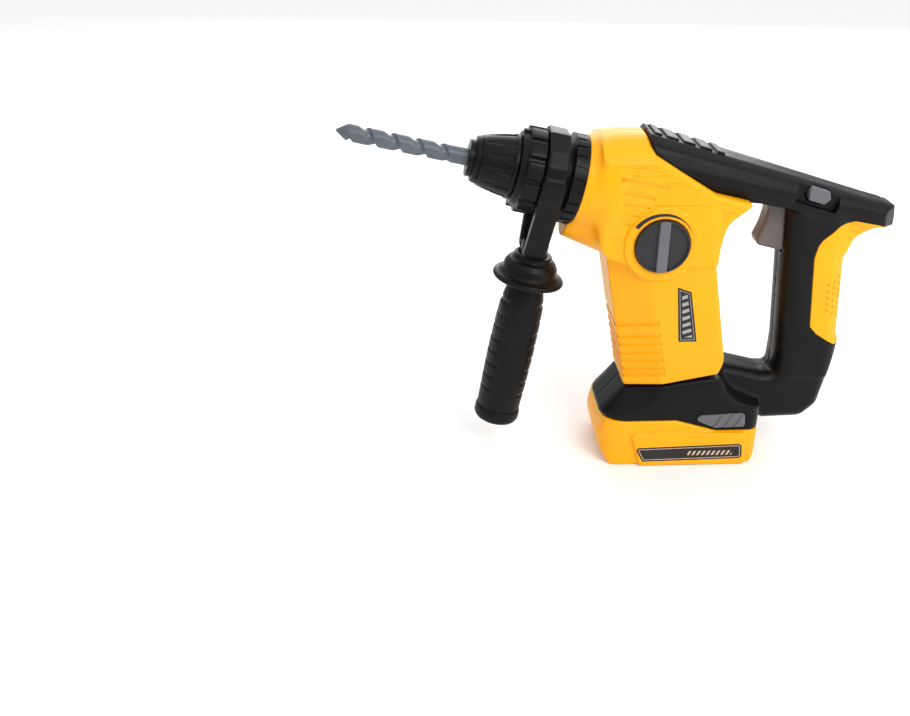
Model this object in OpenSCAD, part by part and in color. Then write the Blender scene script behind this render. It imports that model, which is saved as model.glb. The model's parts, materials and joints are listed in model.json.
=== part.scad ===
// Toy rotary hammer with a D handle, standing on its battery pack.
// Stations run along x from a datum near the front of the pack, and the nose points to -x.
// Heights run along z from the surface that the pack rests on. The seam of the shells is y = 0.

/* [Barrel] */
// Tilt of the barrel, nose up, in degrees
barrel_tilt = 12.5; // [11:0.5:14]
// Station where the barrel leaves the housing
barrel_x = -26; // [-27:0.5:-25]
// Height of the barrel axis there
barrel_z = 197; // [196:0.5:198]
// Distance along the barrel from the housing to the tip of the bit
bit_reach = 155; // [152:1:158]
// Radius of the fixed neck that carries the side handle
neck_r = 22; // [21.5:0.1:22.3]
// Radius of the ribbed ring
ring_r = 28.75; // [28:0.25:29]
// Radius over the pads of the front collar
collar_r = 27.4; // [27:0.1:28]
// Number of pads, ribs and flutes round the barrel
pad_count = 12; // [10:1:14]
// Radius of the spindle
spindle_r = 5; // [4.8:0.1:5.1]
// Radius of the bit's shank
bit_r = 5.5; // [5.4:0.1:5.6]
// Across the flats of the spindle's hexagonal end
hex_flats = 7; // [6.5:0.1:7.1]

/* [Housing] */
// Half the width of the housing
body_half = 29; // [28.5:0.1:29.5]
// Lean of the motor column, foot to the rear, in degrees
column_lean = 11; // [10:0.5:12]
// Thickness of the shells
wall = 2.2; // [2:0.1:2.4]
// Radius of the raised boss behind the mode dial
dial_boss_r = 24; // [23:0.5:24.5]
// Radius of the mode dial
dial_r = 17.3; // [17:0.1:17.5]

/* [Handle frame] */
// Slope of the top rail, tail down, in degrees
rail_slope = 16.9; // [16.5:0.1:17.2]
// Station of the end of the rail
tail_x = 183; // [182:0.5:184]
// Half the width of the rear grip
grip_half = 16.5; // [16:0.1:17]
// Lean of the rear grip, foot to the rear, in degrees
grip_lean = 5; // [4.5:0.5:5.5]
// Half the width of the foot
foot_half = 31; // [30.5:0.1:31.2]

/* [Side handle] */
// Lean of the side handle from the vertical, in degrees
handle_lean = 10.5; // [10:0.5:11]
// Radius of the hand guard
guard_r = 24; // [23:0.5:25]
// Greatest radius of the side grip
side_grip_r = 15.8; // [15.4:0.1:16.2]
// Distance from the barrel axis to the end of the side handle
side_reach = 180.5; // [179:0.5:182]

/* [Battery pack] */
// Half the width of the pack without its side panels
pack_half = 32; // [31.8:0.1:32.2]
// Thickness of the raised side panels
panel_t = 2; // [1.8:0.1:2.2]
// Radius of one cell
cell_r = 7.2; // [7.1:0.05:7.2]
// Length of one cell
cell_len = 50.5; // [50:0.1:50.5]

/* [Hidden] */
$fn = 64;

far = 60; // half the width of every cutting prism
fit = 0.05; // radial play of a running fit
gap = 0.3; // play between pieces that slide past each other
tip_r = 1.6; // radius of the blunt end of the bit
nose_x = barrel_x - bit_reach * cos(barrel_tilt) - tip_r * sin(barrel_tilt);
centre_x = (nose_x + tail_x) / 2;

// Side outlines are lists of [station, height, corner radius], anticlockwise.
column_foot = [41, 62];
grip_foot = [132, 80];
rail_head = [66.5, 214.8];
housing_side = [[-40, 30, 0], [11.5, 56.8, 0], [35, 61.2, 0], [72.8, 68.6, 2], [77.8, 80.5, 4],
    [62.8, 153, 40], [66.5, 175, 14], [82.1, 188, 1.4], [57.5, 194.4, 8],
    [17.8, 219.4, 4], [13.8, 229.8, 2.5], [-4, 229.8, 12], [-16, 226, 0], [-40, 226, 0]];
block_side = [[-14.5, 156.5, 15], [4, 150, 0], [85, 150, 0], [85, 232, 0], [-14.5, 232, 0]];
rail_side = [[12, 205, 0], [57, 189, 0], [88, 186, 0], [168, 168.3, 0], [tail_x + 0.42, 165.6, 1],
    [tail_x - 3, 180.2, 1.5], [rail_head[0], rail_head[1], 0], [16, 230.2, 0]];
flare_side = [[135, 150, 0], [151.6, 140, 10], [157.6, 158.4, 9], [173.5, 167, 2],
    [172, 180, 0], [125, 186, 0]];
bridge_side = [[78, 28, 0], [109, 28, 0], [112.5, 24.6, 3], [141, 25.4, 11], [151.5, 36, 9],
    [157, 70, 0], [158.6, 86, 0], [135, 96, 0], [119.5, 80, 0], [117.4, 62.6, 4], [108, 63, 3],
    [82.6, 68.8, 2], [70, 70.5, 0]];
skirt_side = [[-6, 35.2, 0], [47.8, 35.2, 6], [75.5, 26.8, 6], [108, 26.8, 0], [108, 48, 0],
    [-6, 48, 0]];
pad_side = [[135, 60, 0], [137.2, 92.2, 5], [131.5, 98, 0], [128.6, 147, 12], [131.5, 158, 12],
    [143.5, 169, 10], [152, 172.6, 4], [170, 168.4, 0], [178, 166, 0], [178, 60, 0]];
pack_side = [[3, 0, 1.5], [103, 0, 3], [106.3, 6, 4], [106.3, 26.5, 1], [75.6, 26.5, 6],
    [47.7, 34.9, 6], [-2, 34.9, 2], [-7, 22, 9], [-3, 9, 8]];
panel_side = [[24, 0.5, 1], [98.5, 0.5, 3], [95.8, 25.8, 3], [16, 26.4, 3]];
button_side = [[74, 29.2, 5], [95.4, 29.8, 2.5], [94.2, 40.4, 2.5], [64, 39, 3], [59.5, 36, 2]];
trigger_side = [[94.6, 153.4, 2.5], [109, 149.6, 0], [118, 149.6, 0], [118, 184, 0],
    [96.2, 184, 1], [98.1, 177, 12], [96.4, 167, 20], [93, 157.4, 2]];

// Plan outlines are lists of [station, across, corner radius], anticlockwise.
column_plan = [[-30.5, -body_half, 19], [38.3, -body_half, 8], [38.3, body_half, 8],
    [-30.5, body_half, 19]];
block_plan = [[-15.1, -body_half - 0.3, 7], [90, -body_half - 0.3, 0],
    [90, body_half + 0.3, 0], [-15.1, body_half + 0.3, 7]];
block_front = [[-body_half, 140, 0], [body_half, 140, 0], [body_half, 230.2, 13],
    [-body_half, 230.2, 13]];
rail_plan = [[0, -27, 0], [60, -26, 0], [tail_x + 0.1, -15.5, 4], [tail_x + 0.1, 15.5, 4],
    [60, 26, 0], [0, 27, 0]];
grip_plan = [[-15.4, -grip_half, 12], [26.4, -grip_half, 13], [26.4, grip_half, 13],
    [-15.4, grip_half, 12]];
bridge_plan = [[60, -grip_half, 0], [158.6, -grip_half, 12], [158.6, grip_half, 12],
    [60, grip_half, 0]];
bridge_front = [[-grip_half, 24.4, 8], [grip_half, 24.4, 8], [grip_half, 100, 0],
    [-grip_half, 100, 0]];
foot_plan = [[-3.9, -foot_half, 16], [106, -foot_half, 8], [106, foot_half, 8],
    [-3.9, foot_half, 16]];
pack_plan = [[-7, -pack_half, 17], [106.5, -pack_half, 8], [106.5, pack_half, 8],
    [-7, pack_half, 17]];

// Rail sections are lists of [half width, height from the rail's top].
rail_front_section = [[13, 0], [22, -5], [26.3, -16], [22, -36]];
rail_rear_section = [[7, 0], [12.5, -2.2], [15.5, -6], [12, -20]];
rail_span = [-54, 124];

// Screw places are [station, height, half the width at the head].
housing_screw_places = [[-3, 215, 22], [59, 184, 26], [67, 86, 24], [15, 74, 20], [55, 137, 26]];
frame_screw_places = [[42, 210, 17], [158, 178, 11], [124, 88, 13], [128, 44, 12.5], [18, 45, 25]];
screw_r = 1.4;
screw_head_r = 2.8;
screw_boss_r = 4;

// Upper vent: [height, front end, rear end] of each slot.
upper_slots = [[205, -3.8, 27], [196, -1.2, 19], [189.3, -0.7, 16], [182.8, -0.2, 9],
    [176.4, 0.8, 4.5]];
lower_slot_heights = [46.5, 37.5, 31.5, 25, 19, 13, 8];
dial_centre = [25.5, 163];
dial_face_y = -34;

// Gear train: stations along the barrel and tooth counts.
gear_s = [-46.5, -42, -37.5];
output_teeth = 36;
small_teeth = 12;
big_teeth = 36;
pinion_teeth = 10;
output_module = 1;
input_module = 0.8;
compound_drop = output_module * (output_teeth + small_teeth) / 2;
pinion_drop = compound_drop + input_module * (big_teeth + pinion_teeth) / 2;
pressure = 20;
pin_r = 1.5;

hex_r = hex_flats / 2 / cos(30);
side_root = [barrel_x - 16.1, barrel_z + 3.6];

// ---- outlines ----

function unit(v) = v / norm(v);

function corner_arc(a, b, c, r, steps = 6) =
    r <= 0 ? [b] :
    let (u = unit(a - b), w = unit(c - b))
    let (half = acos(max(-0.9999, min(0.9999, u * w))) / 2)
    let (mid = b + unit(u + w) * r / sin(half))
    let (from = b + u * r / tan(half) - mid, to = b + w * r / tan(half) - mid)
    let (start = atan2(from[1], from[0]))
    let (sweep = (atan2(to[1], to[0]) - start + 540) % 360 - 180)
    [for (k = [0 : steps]) mid + r * [cos(start + sweep * k / steps), sin(start + sweep * k / steps)]];

function flat(p) = [p[0], p[1]];

function rounded(points) = [for (k = [0 : len(points) - 1])
    let (n = len(points), a = points[(k + n - 1) % n], b = points[k], c = points[(k + 1) % n])
    each corner_arc(flat(a), flat(b), flat(c), b[2])];

function left_normal(v) = [-v[1], v[0]];

function inset(points, t) = [for (k = [0 : len(points) - 1])
    let (n = len(points), b = flat(points[k]))
    let (u = unit(b - flat(points[(k + n - 1) % n])))
    let (w = unit(flat(points[(k + 1) % n]) - b))
    let (q = b + (left_normal(u) + left_normal(w)) * t / (1 + left_normal(u) * left_normal(w)))
    let (turn = u[0] * w[1] - u[1] * w[0], r = points[k][2])
    [q[0], q[1], r <= 0 ? 0 : (turn > 0 ? max(r - t, 0.4) : r + t)]];

module side(points, y0 = -far, y1 = far) {
    translate([0, y1, 0]) rotate([90, 0, 0]) linear_extrude(y1 - y0) polygon(rounded(points));
}

module plan(points, z0, z1) {
    translate([0, 0, z0]) linear_extrude(z1 - z0) polygon(rounded(points));
}

module front(points, x0, x1) {
    translate([x0, 0, 0]) rotate([90, 0, 90]) linear_extrude(x1 - x0) polygon(rounded(points));
}

// ---- places ----

module from_datum() { translate([-centre_x, 0, 0]) children(); }

// Local z runs along the barrel to the nose, local x up and local y across.
module on_barrel(s = 0) {
    translate([barrel_x, 0, barrel_z]) rotate([0, barrel_tilt - 90, 0])
        translate([0, 0, s]) children();
}

// Local z runs down the side handle, local x to the nose.
module on_side_handle(d = 0) {
    translate([side_root[0], 0, side_root[1]]) rotate([0, 180 + handle_lean, 0])
        translate([0, 0, d]) children();
}

module on_column() {
    translate([column_foot[0], 0, column_foot[1]]) rotate([0, -column_lean, 0]) children();
}

module on_grip() {
    translate([grip_foot[0], 0, grip_foot[1]]) rotate([0, -grip_lean, 0]) children();
}

module on_rail() {
    translate([rail_head[0], 0, rail_head[1]]) rotate([0, rail_slope, 0]) children();
}

// A cylinder across the tool, from y0 to y1.
module across(x, z, r, y0, y1) {
    translate([x, y1, z]) rotate([90, 0, 0]) cylinder(r = r, h = y1 - y0);
}

module left_half() {
    difference() {
        children();
        translate([-333, 0, -33]) cube([777, 111, 377]);
    }
}

module right_half() {
    difference() {
        children();
        translate([-333, -111, -33]) cube([777, 111, 377]);
    }
}

// A washer or tube on the local z axis.
module tube(r_out, r_in, z0, z1) {
    translate([0, 0, z0]) difference() {
        cylinder(r = r_out, h = z1 - z0);
        translate([0, 0, -1]) cylinder(r = r_in, h = z1 - z0 + 2);
    }
}

// ---- screws ----

module screw(place, length) {
    head_y = place[2] - 4.5;
    across(place[0], place[1], screw_head_r, head_y, head_y + 2);
    across(place[0], place[1], screw_r, head_y - length, head_y);
}

module screw_bosses(places) {
    for (p = places) across(p[0], p[1], screw_boss_r, -far, far);
}

module screw_holes(places, depth) {
    for (p = places) {
        head_y = p[2] - 4.5;
        across(p[0], p[1], screw_head_r + 0.25, head_y, far);
        across(p[0], p[1], screw_r + fit, head_y - depth, head_y);
    }
}

// ---- housing ----

module column_and_block(t) {
    intersection() {
        side(inset(housing_side, t));
        union() {
            on_column() plan(inset(column_plan, t), 0.4 + t, 118);
            intersection() {
                side(inset(block_side, t));
                front(inset(block_front, t), -30, 95);
                plan(inset(block_plan, t), 130, 240);
            }
        }
    }
}

module neck_and_chin(t) {
    front_wall = t > 0 ? 2.4 : 0;
    on_barrel(-20) cylinder(r1 = 31.9 - t, r2 = 29.2 - t, h = 20 - front_wall);
    difference() {
        on_barrel(-26) translate([-21, 0, 0]) cylinder(r1 = 22 - t, r2 = 16.2 - t, h = 28 - front_wall);
        if (t == 0) on_barrel(0) cylinder(r = ring_r + 0.4, h = 10);
    }
}

module housing_solid(t) {
    column_and_block(t);
    neck_and_chin(t);
}

module dial_seat() {
    across(dial_centre[0], dial_centre[1], dial_boss_r, -30.6, -28);
    across(dial_centre[0], dial_centre[1], dial_r + 2.4, -29, -25);
}

module upper_vent_cuts() {
    for (slot = upper_slots, y = [-body_half - 1, body_half - 0.8])
        translate([slot[1], y, slot[0]]) rotate([0, 11, 0]) cube([slot[2] - slot[1], 1.8, 1.5]);
}

module lower_vent_cuts() {
    for (h = lower_slot_heights) on_column() difference() {
        plan([[-40, -far, 0], [-1, -far, 0], [-1, far, 0], [-40, far, 0]], h, h + 1.6);
        plan(inset(column_plan, 0.9), h - 1, h + 3);
    }
}

module housing() {
    difference() {
        union() {
            difference() {
                union() {
                    housing_solid(0);
                    left_half() dial_seat();
                }
                difference() {
                    housing_solid(wall);
                    dial_seat();
                }
            }
            intersection() {
                screw_bosses(housing_screw_places);
                housing_solid(wall / 2);
            }
        }
        on_barrel() translate([0, 0, -8]) cylinder(r = neck_r + fit, h = 12);
        across(dial_centre[0], dial_centre[1], dial_r + 0.35, -far, -28.6);
        across(dial_centre[0], dial_centre[1], 4 + fit, -32, -20);
        upper_vent_cuts();
        lower_vent_cuts();
        screw_holes(housing_screw_places, 40);
    }
}

module left_housing() { color("goldenrod") from_datum() left_half() housing(); }
module right_housing() { color("goldenrod") from_datum() right_half() housing(); }

// ---- black handle frame ----

function full_section(half, t) = [
    for (p = half) [-max(p[0] - t, 1), p[1] < -30 || p[1] == -20 ? p[1] + t : p[1] - t],
    for (k = [len(half) - 1 : -1 : 0]) let (p = half[k])
        [max(p[0] - t, 1), p[1] < -30 || p[1] == -20 ? p[1] + t : p[1] - t]];

module rail_slab(section, t, u) {
    translate([u, 0, 0]) rotate([90, 0, 90]) linear_extrude(0.2) polygon(full_section(section, t));
}

module rail(t) {
    intersection() {
        on_rail() hull() {
            rail_slab(rail_front_section, t, rail_span[0]);
            rail_slab(rail_rear_section, t, rail_span[1]);
        }
        side(inset(rail_side, t));
        plan(inset(rail_plan, t), 100, 260);
    }
}

module grip(t) {
    intersection() {
        on_grip() plan(inset(grip_plan, t), -25, 112);
        side([[90, 60, 0], [170, 60, 0], [170, 178, 0], [90, 190, 0]]);
    }
    intersection() {
        union() {
            side(inset(flare_side, t), t - 8, 8 - t);
            side(inset(flare_side, t + 3), t - 13, 13 - t);
        }
        plan([[100, -far, 0], [180, -far, 0], [180, far, 0], [100, far, 0]], 120, 190);
    }
}

module bridge(t) {
    intersection() {
        side(inset(bridge_side, t));
        plan(inset(bridge_plan, t), 0, 120);
        front(inset(bridge_front, t), 0, 200);
    }
}

module foot(t) {
    intersection() {
        side(inset(skirt_side, t));
        plan(inset(foot_plan, t), 10, 80);
    }
    hull() {
        plan(inset(foot_plan, t), 46.5, 47.5);
        on_column() plan([[-37 + t, -28 + t, 16], [42 - t, -28 + t, 8], [42 - t, 28 - t, 8],
            [-37 + t, 28 - t, 16]], -1.5 - t, -0.5 - t);
    }
}

module frame_solid(t) {
    rail(t);
    grip(t);
    bridge(t);
    foot(t);
}

module pad_region() { side(pad_side); }

module pack_rail() {
    plan([[50, -10, 0], [98, -10, 0], [98, 10, 0], [50, 10, 0]], 20, 30);
    plan([[50, -14, 0], [98, -14, 0], [98, 14, 0], [50, 14, 0]], 19.6, 22);
}

module direction_outline(grow) {
    h = 4.4 + grow;
    w = 8.5 + grow;
    polygon([[-w, 0], [-w + 2.8, -h], [w - 2.8, -h], [w, 0], [w - 2.8, h], [-w + 2.8, h]]);
}

module at_direction(y0, y1) {
    on_rail() translate([63.3, y1, -6.6]) rotate([90, 0, 0]) linear_extrude(y1 - y0) children();
}

module frame() {
    difference() {
        union() {
            difference() {
                frame_solid(0);
                frame_solid(wall + 0.3);
                intersection() {
                    grip(wall * 2);
                    pad_region();
                }
            }
            intersection() {
                union() {
                    screw_bosses(frame_screw_places);
                    for (y = [-14.6, 12.4]) at_direction(y, y + 2.2) square([32, 18], center = true);
                }
                frame_solid(wall / 2);
            }
            pack_rail();
        }
        side(housing_side);
        pad_solid();
        on_rail() translate([-49.8, -11.3, -3.2]) cube([47.4, 22.6, 8]);
        at_direction(-far, -14.6) square([29, 15], center = true);
        at_direction(14.6, far) square([29, 15], center = true);
        at_direction(-far, far) direction_outline(gap);
        translate([88, -7.4, 148.9]) cube([36, 14.8, 38]);
        release_window(-1);
        release_window(1);
        screw_holes(frame_screw_places, 30);
    }
}

module release_window(hand) {
    mirror([0, hand > 0 ? 1 : 0, 0]) {
        side(inset(button_side, -gap), -far, -24);
        side(inset(button_side, -1.6), -28.4, -24);
    }
}

module left_frame() { color("#2b2b2d") from_datum() left_half() frame(); }
module right_frame() { color("#2b2b2d") from_datum() right_half() frame(); }

module top_ridge_pad() {
    color("#202022") from_datum() difference() {
        on_rail() difference() {
            translate([-49.6, -11, -3]) cube([47, 22, 4]);
            for (u = [-43.2 : 11.2 : -9]) translate([u - 1.7, -12, -1.8]) cube([3.4, 24, 5]);
        }
        side(inset(housing_side, -gap));
    }
}

// The yellow pad wraps the back of the grip as a skin.
module pad_solid() {
    intersection() {
        difference() {
            union() {
                grip(0);
                bridge(0);
            }
            grip(wall);
            bridge(wall);
            side([[100, 60, 0], [137, 60, 0], [137, 90, 0], [100, 90, 0]]);
            side([[130, 60, 0], [170, 60, 0], [170, 82, 0], [154, 83.6, 0], [137, 92, 0], [130, 92, 0]]);
        }
        side(pad_side);
        plan([[100, -far, 0], [tail_x, -far, 0], [tail_x, far, 0], [100, far, 0]], 80, 169.5);
    }
}

module rear_grip_pad() { color("goldenrod") from_datum() pad_solid(); }

module housing_screws() {
    color("silver") from_datum() for (p = housing_screw_places) screw(p, p[2] + 6);
}

module frame_screws() {
    color("silver") from_datum() for (p = frame_screw_places) screw(p, p[2] + 4);
}

// ---- barrel ----

module collar() {
    color("#232325") from_datum() on_barrel() difference() {
        union() {
            translate([0, 0, -6]) cylinder(r = neck_r, h = 36);
            translate([0, 0, 26]) cylinder(r = 25.2, h = 11.5);
            translate([0, 0, 37.5]) cylinder(r1 = 24, r2 = 23, h = 3.5);
            for (k = [0 : pad_count - 1]) rotate([0, 0, 360 / pad_count * (k + 0.5)])
                translate([23, -5.6, 26.3]) cube([collar_r - 23, 11.2, 10.7]);
            for (a = [0, 180]) rotate([0, 0, a]) translate([22, -2.5, 37.5]) cube([3.4, 5, 3.5]);
            tube(24.6, neck_r - 1, -6, -3.2);
        }
        translate([0, 0, -7]) cylinder(r = 19, h = 36);
        translate([0, 0, 28]) cylinder(r = 8, h = 20);
    }
}

module ribbed_ring() {
    color("#1d1d1f") from_datum() on_barrel() difference() {
        cylinder(r = ring_r, h = 8.4);
        translate([0, 0, -1]) cylinder(r = neck_r + fit / 2, h = 11);
        for (k = [0 : 2 * pad_count - 1]) rotate([0, 0, 360 / (2 * pad_count) * k])
            translate([ring_r - 0.9, -0.9, 1.8]) cube([3, 1.8, 8]);
    }
}

module bush(s0, s1, s_flange) {
    difference() {
        union() {
            translate([0, 0, s0]) cylinder(r = 7.95, h = s1 - s0);
            translate([0, 0, s_flange]) cylinder(r = 9.5, h = 1.5);
        }
        translate([0, 0, s0 - 5]) cylinder(r = spindle_r + fit, h = s1 - s0 + 10);
    }
}

module front_bush() { color("tan") from_datum() on_barrel() bush(28, 38, 27.3); }
module rear_bush() { color("tan") from_datum() on_barrel() bush(-53, -49, -54.5); }

module gear_plate_outline() {
    hull() {
        circle(r = 11);
        translate([-pinion_drop, 0]) circle(r = 13);
    }
}

module rear_gear_plate() {
    color("ivory") from_datum() on_barrel() difference() {
        union() {
            translate([0, 0, -50.5]) linear_extrude(2.5) gear_plate_outline();
            for (y = [-20, 20]) translate([-compound_drop - 2, y, -50.5]) cylinder(r = 2.5, h = 16.4);
            translate([-compound_drop - 2, 0, -49.25]) cube([5, 42, 2.5], center = true);
        }
        translate([0, 0, -55]) cylinder(r = 8, h = 10);
        translate([-compound_drop, 0, -55]) cylinder(r = pin_r + 0.01, h = 10);
        translate([-pinion_drop, 0, -55]) cylinder(r = 3.4, h = 10);
    }
}

module front_gear_plate() {
    color("ivory") from_datum() on_barrel() difference() {
        union() {
            translate([0, 0, -34]) cylinder(r = 9, h = 2);
            translate([-compound_drop / 2, 0, -33]) cube([compound_drop, 10, 2], center = true);
            translate([-compound_drop, 0, -34]) cylinder(r = 5, h = 2);
            translate([-compound_drop - 2, 0, -33]) cube([5, 45, 2], center = true);
        }
        translate([0, 0, -36]) cylinder(r = spindle_r + 0.6, h = 6);
        translate([-compound_drop, 0, -36]) cylinder(r = pin_r + 0.01, h = 6);
    }
}

module compound_pin() {
    color("silver") from_datum() on_barrel() translate([-compound_drop, 0, -50.5])
        cylinder(r = pin_r, h = 18.4);
}

module motor() {
    color("silver") from_datum() on_barrel() translate([-pinion_drop, 0, -77]) difference() {
        union() {
            cylinder(r = 12, h = 26);
            translate([0, 0, -1.5]) cylinder(r = 4, h = 2);
            translate([0, 0, 25]) cylinder(r = 3.2, h = 2.5);
        }
        translate([0, 0, 12]) cylinder(r = 1 + fit, h = 20);
    }
}

// Involute gear outline: a tooth is centred on angle 0.
function involute(r, base) = let (a = acos(min(1, base / r))) tan(a) * 180 / PI - a;

function tooth_half(r, teeth, m, play) =
    let (pitch = teeth * m / 2, base = pitch * cos(pressure))
    90 / teeth - play / 2 / pitch * 180 / PI + involute(pitch, base) - involute(max(r, base), base);

function gear_points(teeth, m, play = 0.16, steps = 4) =
    let (pitch = teeth * m / 2, base = pitch * cos(pressure))
    let (outer = pitch + 0.85 * m, root = pitch - 1.15 * m)
    let (low = max(base, root + 0.01))
    let (radii = [for (k = [0 : steps]) low + (outer - low) * k / steps])
    [for (k = [0 : teeth - 1]) let (mid = 360 / teeth * k) each concat(
        [root * [cos(mid - tooth_half(low, teeth, m, play)), sin(mid - tooth_half(low, teeth, m, play))]],
        [for (r = radii) r * [cos(mid - tooth_half(r, teeth, m, play)),
            sin(mid - tooth_half(r, teeth, m, play))]],
        [for (j = [steps : -1 : 0]) let (r = radii[j]) r * [cos(mid + tooth_half(r, teeth, m, play)),
            sin(mid + tooth_half(r, teeth, m, play))]],
        [root * [cos(mid + tooth_half(low, teeth, m, play)), sin(mid + tooth_half(low, teeth, m, play))]])];

module gear(teeth, m, s0, s1, turn = 0) {
    translate([0, 0, s0]) rotate([0, 0, turn]) linear_extrude(s1 - s0) polygon(gear_points(teeth, m));
}

module spindle() {
    color("dimgray") from_datum() on_barrel() {
        translate([0, 0, -56]) cylinder(r = spindle_r, h = 102);
        translate([0, 0, 46]) cylinder(r = hex_r, h = 15, $fn = 6);
    }
}

module output_gear() {
    color("white") from_datum() on_barrel() difference() {
        union() {
            gear(output_teeth, output_module, gear_s[1] + 0.4, gear_s[2]);
            translate([0, 0, gear_s[2] - 1]) cylinder(r = 8, h = 3);
        }
        translate([0, 0, -60]) cylinder(r = spindle_r, h = 40);
    }
}

module chuck_sleeve() {
    profile = [[0, 41.4], [20.6, 41.4], [20.6, 44.1], [19.9, 44.5], [18.6, 52], [16.4, 61],
        [14.2, 68], [bit_r + 0.6, 68], [bit_r + 0.6, 45.9], [0, 45.9]];
    color("#242426") from_datum() on_barrel() difference() {
        rotate_extrude() polygon(profile);
        for (k = [0 : pad_count - 1]) rotate([0, 0, 360 / pad_count * k])
            translate([19.3, -1.6, 44.9]) rotate([0, -9, 0]) cube([4, 3.2, 19]);
        translate([0, 0, 40]) cylinder(r = spindle_r, h = 7);
    }
}

module chuck_nose() {
    color("#1f1f21") from_datum() on_barrel() tube(11.7, bit_r + 0.4, 68, 71.7);
}

module compound_gear() {
    color("white") from_datum() on_barrel() translate([-compound_drop, 0, 0]) difference() {
        union() {
            gear(big_teeth, input_module, gear_s[0], gear_s[1]);
            gear(small_teeth, output_module, gear_s[1] - 0.1, gear_s[2], 15);
        }
        translate([0, 0, -60]) cylinder(r = pin_r + fit, h = 40);
    }
}

module motor_pinion() {
    color("gold") from_datum() on_barrel() translate([-pinion_drop, 0, 0]) {
        gear(pinion_teeth, input_module, gear_s[0], gear_s[1] + 0.5, 18);
        translate([0, 0, -63]) cylinder(r = 1, h = 17);
    }
}

// Section of the fluted part of the bit: a shank with one broad notch that winds round it.
function flute_section() = [for (a = [0 : 15 : 345])
    let (near = min(a, 360 - a), r = bit_r - 0.06 - (near < 70 ? 1.5 * cos(near * 90 / 70) : 0))
    r * [cos(a), sin(a)]];

module drill_bit() {
    flute_start = 82;
    flute_end = bit_reach - 12;
    color("slategray") from_datum() on_barrel() difference() {
        union() {
            translate([0, 0, 46.5]) cylinder(r = bit_r, h = flute_start - 46.2);
            translate([0, 0, flute_start]) linear_extrude(flute_end - flute_start,
                twist = -360 * (flute_end - flute_start) / 15.8, slices = 40, $fn = 24)
                polygon(flute_section());
            intersection() {
                translate([0, 0, flute_end]) union() {
                    translate([0, 0, -0.3]) cylinder(r = bit_r, h = 5.4);
                    translate([0, 0, 5]) cylinder(r1 = bit_r, r2 = tip_r, h = 7);
                }
                union() {
                    translate([-far, -2.4, flute_end - 1]) cube([2 * far, 4.8, 20]);
                    translate([0, 0, flute_end - 2]) cylinder(r = 4.4, h = 15);
                }
            }
        }
        translate([0, 0, 46]) cylinder(r = hex_r + 0.17, h = 16, $fn = 6);
    }
}

// ---- controls ----

module mode_dial() {
    x = dial_centre[0];
    z = dial_centre[1];
    color("#4a4c50") from_datum() difference() {
        union() {
            across(x, z, dial_r, dial_face_y + 1, -28.8);
            intersection() {
                across(x, z, dial_r, dial_face_y, -30);
                translate([x - 3.4, dial_face_y, z - 30]) cube([6.8, 8, 60]);
            }
            across(x, z, 4, -29, -21.5);
        }
        difference() {
            across(x, z, dial_r - 1.4, dial_face_y - 1, dial_face_y + 2.4);
            translate([x - 3.4, dial_face_y - 2, z - 30]) cube([6.8, 8, 60]);
        }
        difference() {
            across(x, z, 5, -23.7, -22.5);
            across(x, z, 3.2, -25, -20);
        }
    }
}

module dial_clip() {
    color("silver") from_datum() translate([dial_centre[0], -22.6, dial_centre[1]])
        rotate([90, 0, 0]) difference() {
            tube(6.4, 3.22, 0, 1);
            translate([-2, 0, -1]) cube([4, 8, 3]);
        }
}

module trigger() {
    color("#7d7876") from_datum() {
        side(trigger_side, -7, 7);
        side([[117, 150.2, 0], [119.5, 150.2, 0], [119.5, 183, 0], [117, 183, 0]], -9.5, 9.5);
        translate([118, 0, 170]) rotate([0, 90, 0]) cylinder(r = 1.7, h = 5);
    }
}

// Round wire wound on a helix, swept as one polyhedron. Local z is the coil's axis.
module coil(r, wire, turns, length, steps = 14, sides = 6) {
    count = floor(turns * steps);
    points = [for (k = [0 : count], j = [0 : sides - 1])
        let (a = 360 * k / steps, b = 360 * j / sides)
        [(r + wire * cos(b)) * cos(a), (r + wire * cos(b)) * sin(a),
            wire + (length - 2 * wire) * k / count + wire * sin(b)]];
    faces = concat(
        [for (k = [0 : count - 1], j = [0 : sides - 1])
            [k * sides + j, k * sides + (j + 1) % sides, (k + 1) * sides + (j + 1) % sides]],
        [for (k = [0 : count - 1], j = [0 : sides - 1])
            [k * sides + j, (k + 1) * sides + (j + 1) % sides, (k + 1) * sides + j]],
        [[for (j = [sides - 1 : -1 : 0]) j]],
        [[for (j = [0 : sides - 1]) count * sides + j]]);
    polyhedron(points, faces);
}

module trigger_spring() {
    color("silver") from_datum() translate([119.6, 0, 170]) rotate([0, 90, 0])
        coil(2.8, 0.35, 6, 10.8);
}

module trigger_switch() {
    color("#3c5a78") from_datum() difference() {
        union() {
            translate([130.5, -6, 158]) cube([14, 12, 24]);
            translate([128.5, -2, 160.5]) cube([3, 4, 3]);
        }
        translate([129, 0, 170]) rotate([0, 90, 0]) cylinder(r = 1.9, h = 6);
    }
}

module direction_button() {
    color("#8b8e93") from_datum() at_direction(-17.6, 17.6) direction_outline(0);
}

module release_button(hand) {
    mirror([0, hand > 0 ? 1 : 0, 0]) difference() {
        union() {
            side(button_side, -32.4, -25);
            side(inset(button_side, -1.2), -28, -26.6);
        }
        for (x = [70 : 7 : 90]) translate([x, -32.8, 27]) rotate([0, 28, 0]) cube([2, 0.9, 18]);
    }
}

module left_release_button() { color("#8b8e93") from_datum() release_button(-1); }
module right_release_button() { color("#8b8e93") from_datum() release_button(1); }

// ---- side handle ----

// Half outline of the clamp band across the barrel: [up, across].
band_half = [[28.6, 0], [28.6, 8], [21, 20.6], [12, 28], [0, 30], [-10, 29.5]];

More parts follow.
